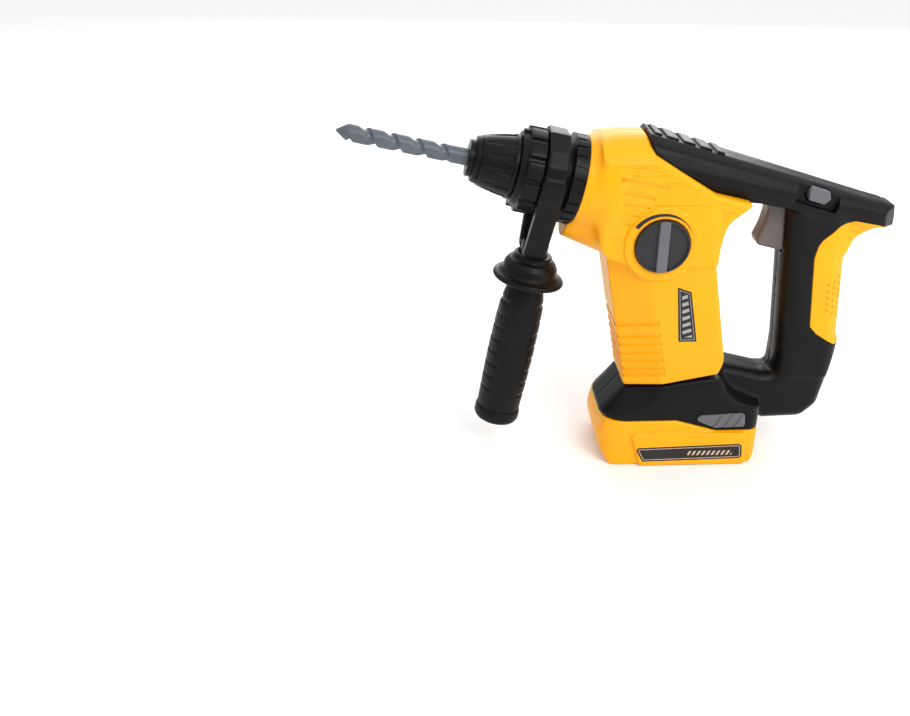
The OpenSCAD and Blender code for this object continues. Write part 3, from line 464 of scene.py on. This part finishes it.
def side_grip(g):
    """In the side handle's own frame, whose z runs down it."""
    r = np.hypot(g.x, g.y)
    d = revolve(GRIP, r, g.z)
    angle = np.degrees(np.arctan2(np.abs(g.y), np.abs(g.x)))
    for k in range(7):
        z = 98.9 + 9.4 * k + np.where(g.x > 0, 0, 2.0) - angle * 0.03
        groove = np.maximum(np.hypot(g.z - z, r - 15.9) - 1.25, (angle - 52) * 0.25)
        d = cut(d, groove, 0.5)
    scoop = np.maximum(np.hypot(g.z - 88.5, r - 15.6) - 2.2, (angle - 46) * 0.25)
    return cut(d, scoop, 0.8)


COLLAR = [(0, -6, 0), (22, -6, 0), (22, 25.9, 0.2), (25.2, 26, 0.6), (25.2, 37.4, 0.6), (24, 37.6, 0.3),
    (23, 41, 0.6), (0, 41, 0)]


def collar(g):
    r = np.hypot(g.x, g.y)
    d = revolve(COLLAR, r, g.z)
    along, across = spokes(g.x, g.y, 12, math.radians(15))
    pad = sect(sect(r - 27.4, 23 - r), np.maximum(np.abs(across) - 5.4, slab(g.z, 26.4, 37)), 0.8)
    d = join(d, pad, 0.5)
    flange = sect(r - 24.6, np.maximum(21 - r, slab(g.z, -6, -3.2)), 0.2)
    d = join(d, flange)
    for sign in (-1, 1):
        lug = np.maximum(np.maximum(slab(sign * g.x, 22, 25.4), np.abs(g.y) - 2.5), slab(g.z, 37.4, 41))
        d = join(d, lug + 0.1, 0.3)
    d = cut(d, sect(r - 19, g.z - 29))
    return cut(d, sect(r - 8, 28 - g.z))


SLEEVE = [(0, 41.4, 0), (20.6, 41.4, 0.6), (20.6, 44.1, 0.8), (19.9, 44.5, 0.2), (18.9, 51, 20),
    (16.8, 60.5, 30), (14.3, 68, 0.8), (6.1, 68, 0), (6.1, 45.9, 0), (0, 45.9, 0)]


def chuck_sleeve(g):
    r = np.hypot(g.x, g.y)
    d = revolve(SLEEVE, r, g.z)
    along, across = spokes(g.x, g.y, 12)
    bed = 18.6 - (g.z - 44.5) * 0.135
    flute = np.maximum(np.hypot(across, np.minimum(along - bed - 2.0, 0)) - 2.0, 44.4 - g.z)
    d = cut(d, flute, 0.5)
    ring = np.abs(g.z - 64.6) - 0.35
    d = cut(d, np.maximum(ring, 14.6 - r), 0.2)
    return cut(d, sect(r - 5, g.z - 47))


def drill_bit(g):
    r = np.hypot(g.x, g.y)
    turn = g.z / 15.8 - np.arctan2(g.y, g.x) / (2 * math.pi)
    phase = turn % 1.0
    dip = np.clip((phase - 0.50) / 0.10, 0, 1) * np.clip((1.0 - phase) / 0.34, 0, 1)
    dip = dip * dip * (3 - 2 * dip)
    ends = np.clip((g.z - 82) / 3, 0, 1) * np.clip((149 - g.z) / 3, 0, 1)
    body = r - 5.48 + 1.75 * dip * ends
    body = sect(body * 0.92, slab(g.z, 46.5, 155), 0.3)
    cone = (r - (5.5 - (g.z - 147.6) * 0.66)) * 0.83
    body = sect(body, cone, 0.4)
    blade = np.minimum(np.abs(g.y) - 2.4, r - 4.4)
    d = sect(body, np.where(g.z > 151.5, blade, -9), 0.3)
    hexagon = np.abs(g.x)
    for a in (60, 120):
        c, s = math.cos(math.radians(a)), math.sin(math.radians(a))
        hexagon = np.maximum(hexagon, np.abs(g.x * c + g.y * s))
    return cut(d, np.maximum(hexagon - 3.66, g.z - 62))


def dial_disc(g):
    r = dial_distance(g)
    d = sect(r - 17.3, slab(g.y, -33, -28.8), 0.7)
    bowl = np.maximum(r - 15.7, g.y + 31.5)
    d = cut(d, np.maximum(bowl, -(np.abs(g.x - DIAL[0]) - 3.3)), 0.6)
    d = join(d, sect(r - 4, slab(g.y, -29, -21.5), 0.3))
    return cut(d, np.maximum(3.2 - r, slab(g.y, -23.7, -22.5)))


def dial_bar(g):
    d = sect(np.abs(g.x - DIAL[0]) - 3.4, slab(g.y, -34, -31), 0.8)
    return sect(d, dial_distance(g) - 16.9, 1.2)


def trigger_shape(g):
    d = sect(outline(TRIGGER_SIDE, g.x, g.z), np.abs(g.y) - 7, 2.2)
    back = np.maximum(np.maximum(slab(g.x, 117, 119.5), np.abs(g.y) - 9.5), slab(g.z, 150.2, 183))
    peg = sect(np.hypot(g.y, g.z - 170) - 1.7, slab(g.x, 118, 123), 0.3)
    return join(join(d, back), peg)


def release_button(g):
    face = outline(BUTTON_SIDE, g.x, g.z)
    d = sect(face, slab(g.y, -32.4, -25), 0.9)
    for x in (71, 78, 85):
        across = (g.x - x) * math.cos(math.radians(28)) - (g.z - 27) * math.sin(math.radians(28))
        d = cut(d, np.maximum(np.abs(across) - 0.9, g.y + 31.6), 0.3)
    return join(d, np.maximum(face - 1.2, slab(g.y, -28, -26.6)))


def direction_button(g):
    u, v = rail_coordinates(g)
    return sect(outline(DIRECTION_FACE, u, v), slab(g.y, -17.6, 17.6), 0.9)


def ridge_pad(g):
    u, v = rail_coordinates(g)
    d = np.maximum(slab(u, -49.6, -2.6), np.maximum(-3 - v, np.abs(g.y) - 11))
    d = sect(d, v - 1, 0.9)
    for k in range(4):
        groove = np.maximum(np.hypot(u + 43.2 - 11.2 * k, np.minimum(v - 0.2, 0)) - 1.7, -2.2 - v)
        d = cut(d, groove, 0.7)
    return cut(d, outline(HOUSING_SIDE, g.x, g.z) - 0.3, 0.3)


def printed_arc(g):
    angle = np.degrees(np.arctan2(g.z - DIAL[1], g.x - DIAL[0]))
    r = dial_distance(g)
    width = np.interp(angle, [15, 145], [0.25, 1.5])
    ring = np.maximum(np.abs(r - 19.6 - width) - width, np.maximum(15 - angle, angle - 145) * 0.34)
    return np.maximum(ring, slab(g.y, -30.78, -30.3))


def bars(u, v, u0, u1, v0, v1, pitch, width, lean):
    """A row of slanted bars between u0 and u1."""
    w = (u - v * lean) % pitch - pitch / 2
    return np.maximum(np.maximum(np.abs(w) - width / 2, slab(u, u0, u1)), slab(v, v0, v1))


def label_plate(g):
    return sect(outline(LABEL_SIDE, g.x, g.z), slab(g.y, -34.12, -33.7), 0.1)


def label_line(g):
    edge = outline(LABEL_SIDE, g.x, g.z)
    line = np.minimum(np.abs(edge + 1.5) - 0.28, bars(g.x, g.z, 57, 88, 8.6, 12.2, 3.4, 1.7, 0.5))
    return np.maximum(line, slab(g.y, -34.29, -33.9))


def decal_line(g):
    edge = outline(DECAL_SIDE, g.x, g.z)
    row = np.maximum(bars(g.z, g.x, 98, 129, 0, 90, 5.2, 2.7, 0.35), edge + 2.6)
    return np.maximum(np.minimum(np.abs(edge + 1.3) - 0.25, row), slab(g.y, -29.29, -28.9))


DECAL_SIDE = [(38.5, 134, 0), (43, 95, 0), (55, 95, 0), (47.8, 130.5, 0)]
LABEL_SIDE = [(25.8, 3.9, 2), (95.6, 5.4, 3), (94.2, 17.4, 3), (19.6, 15.2, 2)]


# ---- materials ----

def srgb(*c):
    """Linear colour with alpha from 8-bit sRGB."""
    parts = [v / 255 for v in c]
    return tuple(v / 12.92 if v <= 0.04045 else ((v + 0.055) / 1.055) ** 2.4 for v in parts) + (1.0,)


def material(name, colour, rough=0.45, metal=0.0, mottle=0.06, mottle_scale=35.0, grain=0.12,
             grain_scale=2200.0, edge=0.4, dust=0.03, gloss=0.25):
    m = bpy.data.materials.new(name)
    m.use_nodes = True
    tree = m.node_tree
    tree.nodes.clear()
    n, link = tree.nodes.new, tree.links.new
    out, bsdf = n("ShaderNodeOutputMaterial"), n("ShaderNodeBsdfPrincipled")
    link(bsdf.outputs[0], out.inputs["Surface"])
    where = n("ShaderNodeTexCoord").outputs["Object"]

    def noise(scale, detail=3.0, roughness=0.55):
        t = n("ShaderNodeTexNoise")
        t.inputs["Scale"].default_value = scale
        t.inputs["Detail"].default_value = detail
        t.inputs["Roughness"].default_value = roughness
        link(where, t.inputs["Vector"])
        return t.outputs["Fac"]

    def ramp(value, low, high, a, b):
        r = n("ShaderNodeMapRange")
        link(value, r.inputs["Value"])
        for key, v in (("From Min", low), ("From Max", high), ("To Min", a), ("To Max", b)):
            r.inputs[key].default_value = v
        return r.outputs["Result"]

    def mix(factor, a, b, mode="MIX"):
        x = n("ShaderNodeMix")
        x.data_type, x.blend_type = "RGBA", mode
        if isinstance(factor, float):
            x.inputs["Factor"].default_value = factor
        else:
            link(factor, x.inputs["Factor"])
        for key, v in (("A", a), ("B", b)):
            socket = [i for i in x.inputs if i.name == key and i.type == "RGBA"][0]
            if isinstance(v, tuple):
                socket.default_value = v
            else:
                link(v, socket)
        return [o for o in x.outputs if o.type == "RGBA"][0]

    def scaled(c, k):
        return tuple(min(1.0, v * k) for v in c[:3]) + (1.0,)

    base = mix(ramp(noise(mottle_scale, 4.0), 0.3, 0.7, 0.0, 1.0),
               scaled(colour, 1 - mottle), scaled(colour, 1 + mottle))
    fleck = ramp(noise(grain_scale * 0.45, 2.0), 0.35, 0.7, 0.0, 1.75 * mottle)
    base = mix(fleck, base, scaled(colour, 0.82))
    if dust > 0:
        lift = scaled(tuple(0.75 * v + 0.12 for v in colour[:3]), 1.0)
        base = mix(ramp(noise(110, 6.0, 0.7), 0.55, 0.8, 0.0, dust), base, lift)
    link(base, bsdf.inputs["Base Color"])
    link(ramp(noise(60, 5.0), 0.3, 0.75, rough - 0.06, rough + 0.08), bsdf.inputs["Roughness"])
    bsdf.inputs["Metallic"].default_value = metal
    bsdf.inputs["Specular IOR Level"].default_value = gloss
    bump = n("ShaderNodeBump")
    bump.inputs["Strength"].default_value = grain
    bump.inputs["Distance"].default_value = 0.0002
    link(noise(grain_scale, 2.0), bump.inputs["Height"])
    wave = n("ShaderNodeBump")
    wave.inputs["Strength"].default_value = 0.12
    wave.inputs["Distance"].default_value = 0.0004
    link(noise(45, 1.0), wave.inputs["Height"])
    link(wave.outputs[0], bump.inputs["Normal"])
    if edge > 0:
        soft = n("ShaderNodeBevel")
        soft.samples = 4
        soft.inputs["Radius"].default_value = edge * MM
        link(soft.outputs[0], wave.inputs["Normal"])
    link(bump.outputs[0], bsdf.inputs["Normal"])
    return m


YELLOW = material("yellow_plastic", srgb(248, 168, 4), 0.36, mottle=0.03, grain=0.10)
YELLOW_SOFT = material("yellow_soft", srgb(244, 168, 8), 0.52, mottle=0.04, grain=0.25)
BLACK = material("black_plastic", srgb(13, 13, 14), 0.36, mottle=0.10, grain=0.30, grain_scale=1700.0,
                 dust=0.02, gloss=0.15)
TRIM = material("black_trim", srgb(13, 13, 15), 0.34, mottle=0.10, grain=0.22, dust=0.02, gloss=0.15)
RUBBER = material("black_rubber", srgb(13, 13, 14), 0.42, mottle=0.12, grain=0.35, dust=0.02, gloss=0.15)
BIT = material("bit_plastic", srgb(92, 98, 106), 0.36, metal=0.15, mottle=0.08, grain=0.10)
DIAL_GREY = material("dial_plastic", srgb(98, 99, 104), 0.40, mottle=0.08)
TRIGGER_GREY = material("trigger_plastic", srgb(98, 92, 90), 0.42, mottle=0.08)
BUTTON_GREY = material("button_plastic", srgb(98, 99, 103), 0.40, mottle=0.08)
DIAL_DARK = material("dial_dark", srgb(42, 41, 44), 0.36, mottle=0.08)
LINE = material("label_line", srgb(206, 176, 150), 0.35, mottle=0.04, grain=0.05)
SILVER = material("decal_silver", srgb(160, 158, 156), 0.35, mottle=0.05, grain=0.05)
LABEL = material("label_print", srgb(38, 38, 40), 0.3, mottle=0.08, grain=0.05)
STEEL = material("steel", srgb(190, 190, 192), 0.28, metal=1.0, mottle=0.08, grain=0.1)
GUNMETAL = material("gunmetal", srgb(110, 110, 114), 0.35, metal=0.9, mottle=0.08)
BRASS = material("brass", srgb(205, 165, 90), 0.3, metal=1.0, mottle=0.08)
ACETAL = material("acetal", srgb(226, 226, 218), 0.4, mottle=0.04)
BOARD = material("board", srgb(34, 92, 52), 0.4, mottle=0.08)
SWITCH = material("switch_case", srgb(60, 84, 112), 0.45, mottle=0.08)
CELL = material("cell_sleeve", srgb(88, 92, 100), 0.3, mottle=0.1)

LOOKS = {
    "yellow_shell": YELLOW, "yellow_grip": YELLOW_SOFT, "black_shell": BLACK, "black_trim": TRIM,
    "black_grip": RUBBER, "bit_grey": BIT, "dial_grey": DIAL_GREY, "trigger_grey": TRIGGER_GREY,
    "button_grey": BUTTON_GREY, "label_black": LABEL, "white_gear": ACETAL, "brass_gear": BRASS,
    "gunmetal": GUNMETAL, "motor_can": STEEL, "screw_steel": STEEL, "spring_steel": STEEL,
    "contact_metal": STEEL, "board_green": BOARD, "speaker_black": RUBBER, "switch_blue": SWITCH,
    "cell_sleeve": CELL}
SLOT_OF = {s["node"]: s["material_slot"] for s in frame["record"]["subparts"]}


def dress(piece, look):
    piece.data.materials.clear()
    piece.data.materials.append(look)


for node, body in frame["nodes"].items():
    cad = bpy.data.objects.get(node)
    if cad is None:
        continue
    for k in range(len(cad.material_slots)):
        cad.material_slots[k].material = LOOKS[SLOT_OF[node]]


def finished(piece, look, body, slot, *nodes):
    dress(piece, look)
    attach(piece, body)
    if nodes:
        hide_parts(*nodes)
    return piece


FINE = 1.0
g = Grid((-48, -33, 50), (86, 1.5, 233), 0.5 * FINE)
finished(g.mesh("left_housing_shell", housing(g, True)), YELLOW, "housing", "yellow_shell", "left_housing")
finished(g.mesh("right_housing_shell", housing(g, False), mirrored=True), YELLOW, "housing",
         "yellow_shell", "right_housing")
g = Grid((-6, -33, 22), (185, 1.5, 233), 0.55 * FINE)
half = frame_half(g)
finished(g.mesh("left_frame_shell", half), BLACK, "housing", "black_shell", "left_frame")
finished(g.mesh("right_frame_shell", half, mirrored=True), BLACK, "housing", "black_shell", "right_frame")

# name, shape, grid box, step, place, material, body, slot, replaced node, mirrored
PIECES = [
    ("grip_pad_skin", grip_pad, ((126, -18, 80), (176, 18, 175)), 0.45, None, YELLOW_SOFT, "housing",
     "yellow_grip", "rear_grip_pad", False),
    ("ridge_pad", ridge_pad, ((12, -12, 205), (68, 12, 236)), 0.4, None, TRIM, "housing",
     "black_trim", "top_ridge_pad", False),
    ("collar_body", collar, ((-29, -29, -7), (29, 29, 42)), 0.45, BARREL_PLACE, TRIM, "housing",
     "black_trim", "collar", False),
    ("sleeve_body", chuck_sleeve, ((-22, -22, 40.5), (22, 22, 69)), 0.35, BARREL_PLACE, TRIM, "spindle",
     "black_trim", "chuck_sleeve", False),
    ("bit_body", drill_bit, ((-6.2, -6.2, 45.5), (6.2, 6.2, 156)), 0.28, BARREL_PLACE, BIT, "bit",
     "bit_grey", "drill_bit", False),
    ("dial_disc", dial_disc, ((7, -34.5, 144.5), (44, -20.5, 181.5)), 0.35, None, DIAL_DARK, "dial",
     "dial_grey", "mode_dial", False),
    ("dial_bar", dial_bar, ((21, -34.6, 144.5), (30, -30, 181.5)), 0.25, None, DIAL_GREY, "dial",
     "button_grey", None, False),
    ("trigger_body", trigger_shape, ((88, -11, 148), (125, 11, 186)), 0.4, None, TRIGGER_GREY, "trigger",
     "trigger_grey", "trigger", False),
    ("direction_slider", direction_button, ((119, -18.5, 184), (142, 18.5, 206)), 0.4, None, BUTTON_GREY,
     "direction_button", "button_grey", "direction_button", False),
    ("left_release_slider", release_button, ((56, -33.5, 26), (98, -24, 44)), 0.3, None, BUTTON_GREY,
     "left_release", "button_grey", "left_release_button", False),
    ("right_release_slider", release_button, ((56, -33.5, 26), (98, -24, 44)), 0.3, None, BUTTON_GREY,
     "right_release", "button_grey", "right_release_button", True),
    ("yoke_body", side_yoke, ((-74, -32, 138), (-26, 32, 236)), 0.5, None, BLACK, "side_handle",
     "black_shell", "side_yoke", False),
    ("guard_body", lambda g: revolve(GUARD, np.hypot(g.x, g.y), g.z), ((-25, -25, 53), (25, 25, 74.5)),
     0.4, HANDLE_PLACE, TRIM, "side_handle", "black_trim", "side_guard", False),
    ("grip_body", side_grip, ((-17, -17, 72.5), (17, 17, 171)), 0.4, HANDLE_PLACE, RUBBER, "side_handle",
     "black_grip", "side_grip", False),
    ("grip_cap_body", lambda g: revolve(GRIP_CAP, np.hypot(g.x, g.y), g.z),
     ((-17, -17, 164.5), (17, 17, 181.5)), 0.4, HANDLE_PLACE, RUBBER, "side_handle", "black_grip",
     "side_grip_cap", False),
    ("pack_body", pack_shell, ((-9, -35.5, -1.5), (108, 35.5, 37)), 0.55, None, YELLOW, "battery_pack",
     "yellow_shell", "pack_shell", False),
    ("dial_arc", printed_arc, ((3, -31.5, 160), (48, -29.8, 186)), 0.22, None, LABEL, "housing",
     "label_black", None, False),
    ("left_decal_line", decal_line, ((37, -29.7, 93), (57, -28.7, 136)), 0.22, None, SILVER, "housing",
     "yellow_shell", None, False),
    ("right_decal_line", decal_line, ((37, -29.7, 93), (57, -28.7, 136)), 0.22, None, SILVER, "housing",
     "yellow_shell", None, True),
    ("left_label_plate", label_plate, ((17, -34.8, 1), (98, -33.3, 20)), 0.25, None, LABEL, "battery_pack",
     "label_black", "left_pack_label", False),
    ("right_label_plate", label_plate, ((17, -34.8, 1), (98, -33.3, 20)), 0.25, None, LABEL,
     "battery_pack", "label_black", "right_pack_label", True),
    ("left_label_line", label_line, ((17, -34.8, 1), (98, -33.5, 20)), 0.22, None, LINE, "battery_pack",
     "yellow_shell", None, False),
    ("right_label_line", label_line, ((17, -34.8, 1), (98, -33.5, 20)), 0.22, None, LINE, "battery_pack",
     "yellow_shell", None, True),
]
for name, shape, box, step, where, look, body, slot, node, mirrored in PIECES:
    g = Grid(*box, step * FINE if step > 0.3 else step, where)
    piece = g.mesh(name, shape(g), mirrored=mirrored)
    finished(piece, look, body, slot, *([node] if node else []))

# ---- stage, light and camera ----

floor_size = 9.0
bpy.ops.mesh.primitive_plane_add(size=floor_size, location=(0, 0, 0))
floor = bpy.context.object
floor.name = "studio_floor"
dress(floor, material("floor_paper", srgb(246, 246, 245), 0.8, mottle=0.01, grain=0.05, edge=0, dust=0.0))

world = bpy.data.worlds.new("studio")
bpy.context.scene.world = world
world.use_nodes = True
sky = world.node_tree.nodes.new
link = world.node_tree.links.new
sky_way, sky_parts = sky("ShaderNodeTexCoord"), sky("ShaderNodeSeparateXYZ")
sky_range = sky("ShaderNodeMapRange")
background = world.node_tree.nodes["Background"]
link(sky_way.outputs["Generated"], sky_parts.inputs[0])
link(sky_parts.outputs["Z"], sky_range.inputs["Value"])
for key, value in (("From Min", 0.0), ("From Max", 0.7), ("To Min", 0.35), ("To Max", 1.15)):
    sky_range.inputs[key].default_value = value
link(sky_range.outputs["Result"], background.inputs["Strength"])
background.inputs["Color"].default_value = (0.98, 0.99, 1.0, 1)


def area(name, spot, target, size, power, colour=(1, 1, 1)):
    light = bpy.data.lights.new(name, "AREA")
    light.size, light.energy, light.color = size, power, colour
    o = bpy.data.objects.new(name, light)
    o.location = spot
    o.rotation_euler = (Vector(target) - Vector(spot)).to_track_quat("-Z", "Y").to_euler()
    bpy.context.scene.collection.objects.link(o)


AIM = (0, 0, 0.11)
area("key", (0.45, -0.85, 1.0), AIM, 0.6, 7, (1.0, 0.98, 0.95))
area("fill", (0.9, -0.6, 0.55), AIM, 0.9, 3, (0.96, 0.98, 1.0))
area("rim", (0.2, 1.5, 0.75), AIM, 1.2, 12)

camera = bpy.data.objects.new("camera", bpy.data.cameras.new("camera"))
bpy.context.scene.collection.objects.link(camera)
camera.data.lens, camera.data.sensor_width = 39.56, 36
camera.data.clip_start = 0.05
camera.location = ((-125.16 - CENTRE_X) * MM, -613.48 * MM, 392.54 * MM)
camera.rotation_euler = (math.radians(90 - 27.7), 0, math.radians(-2))
bpy.context.scene.camera = camera
bpy.context.scene.view_settings.view_transform = "Standard"
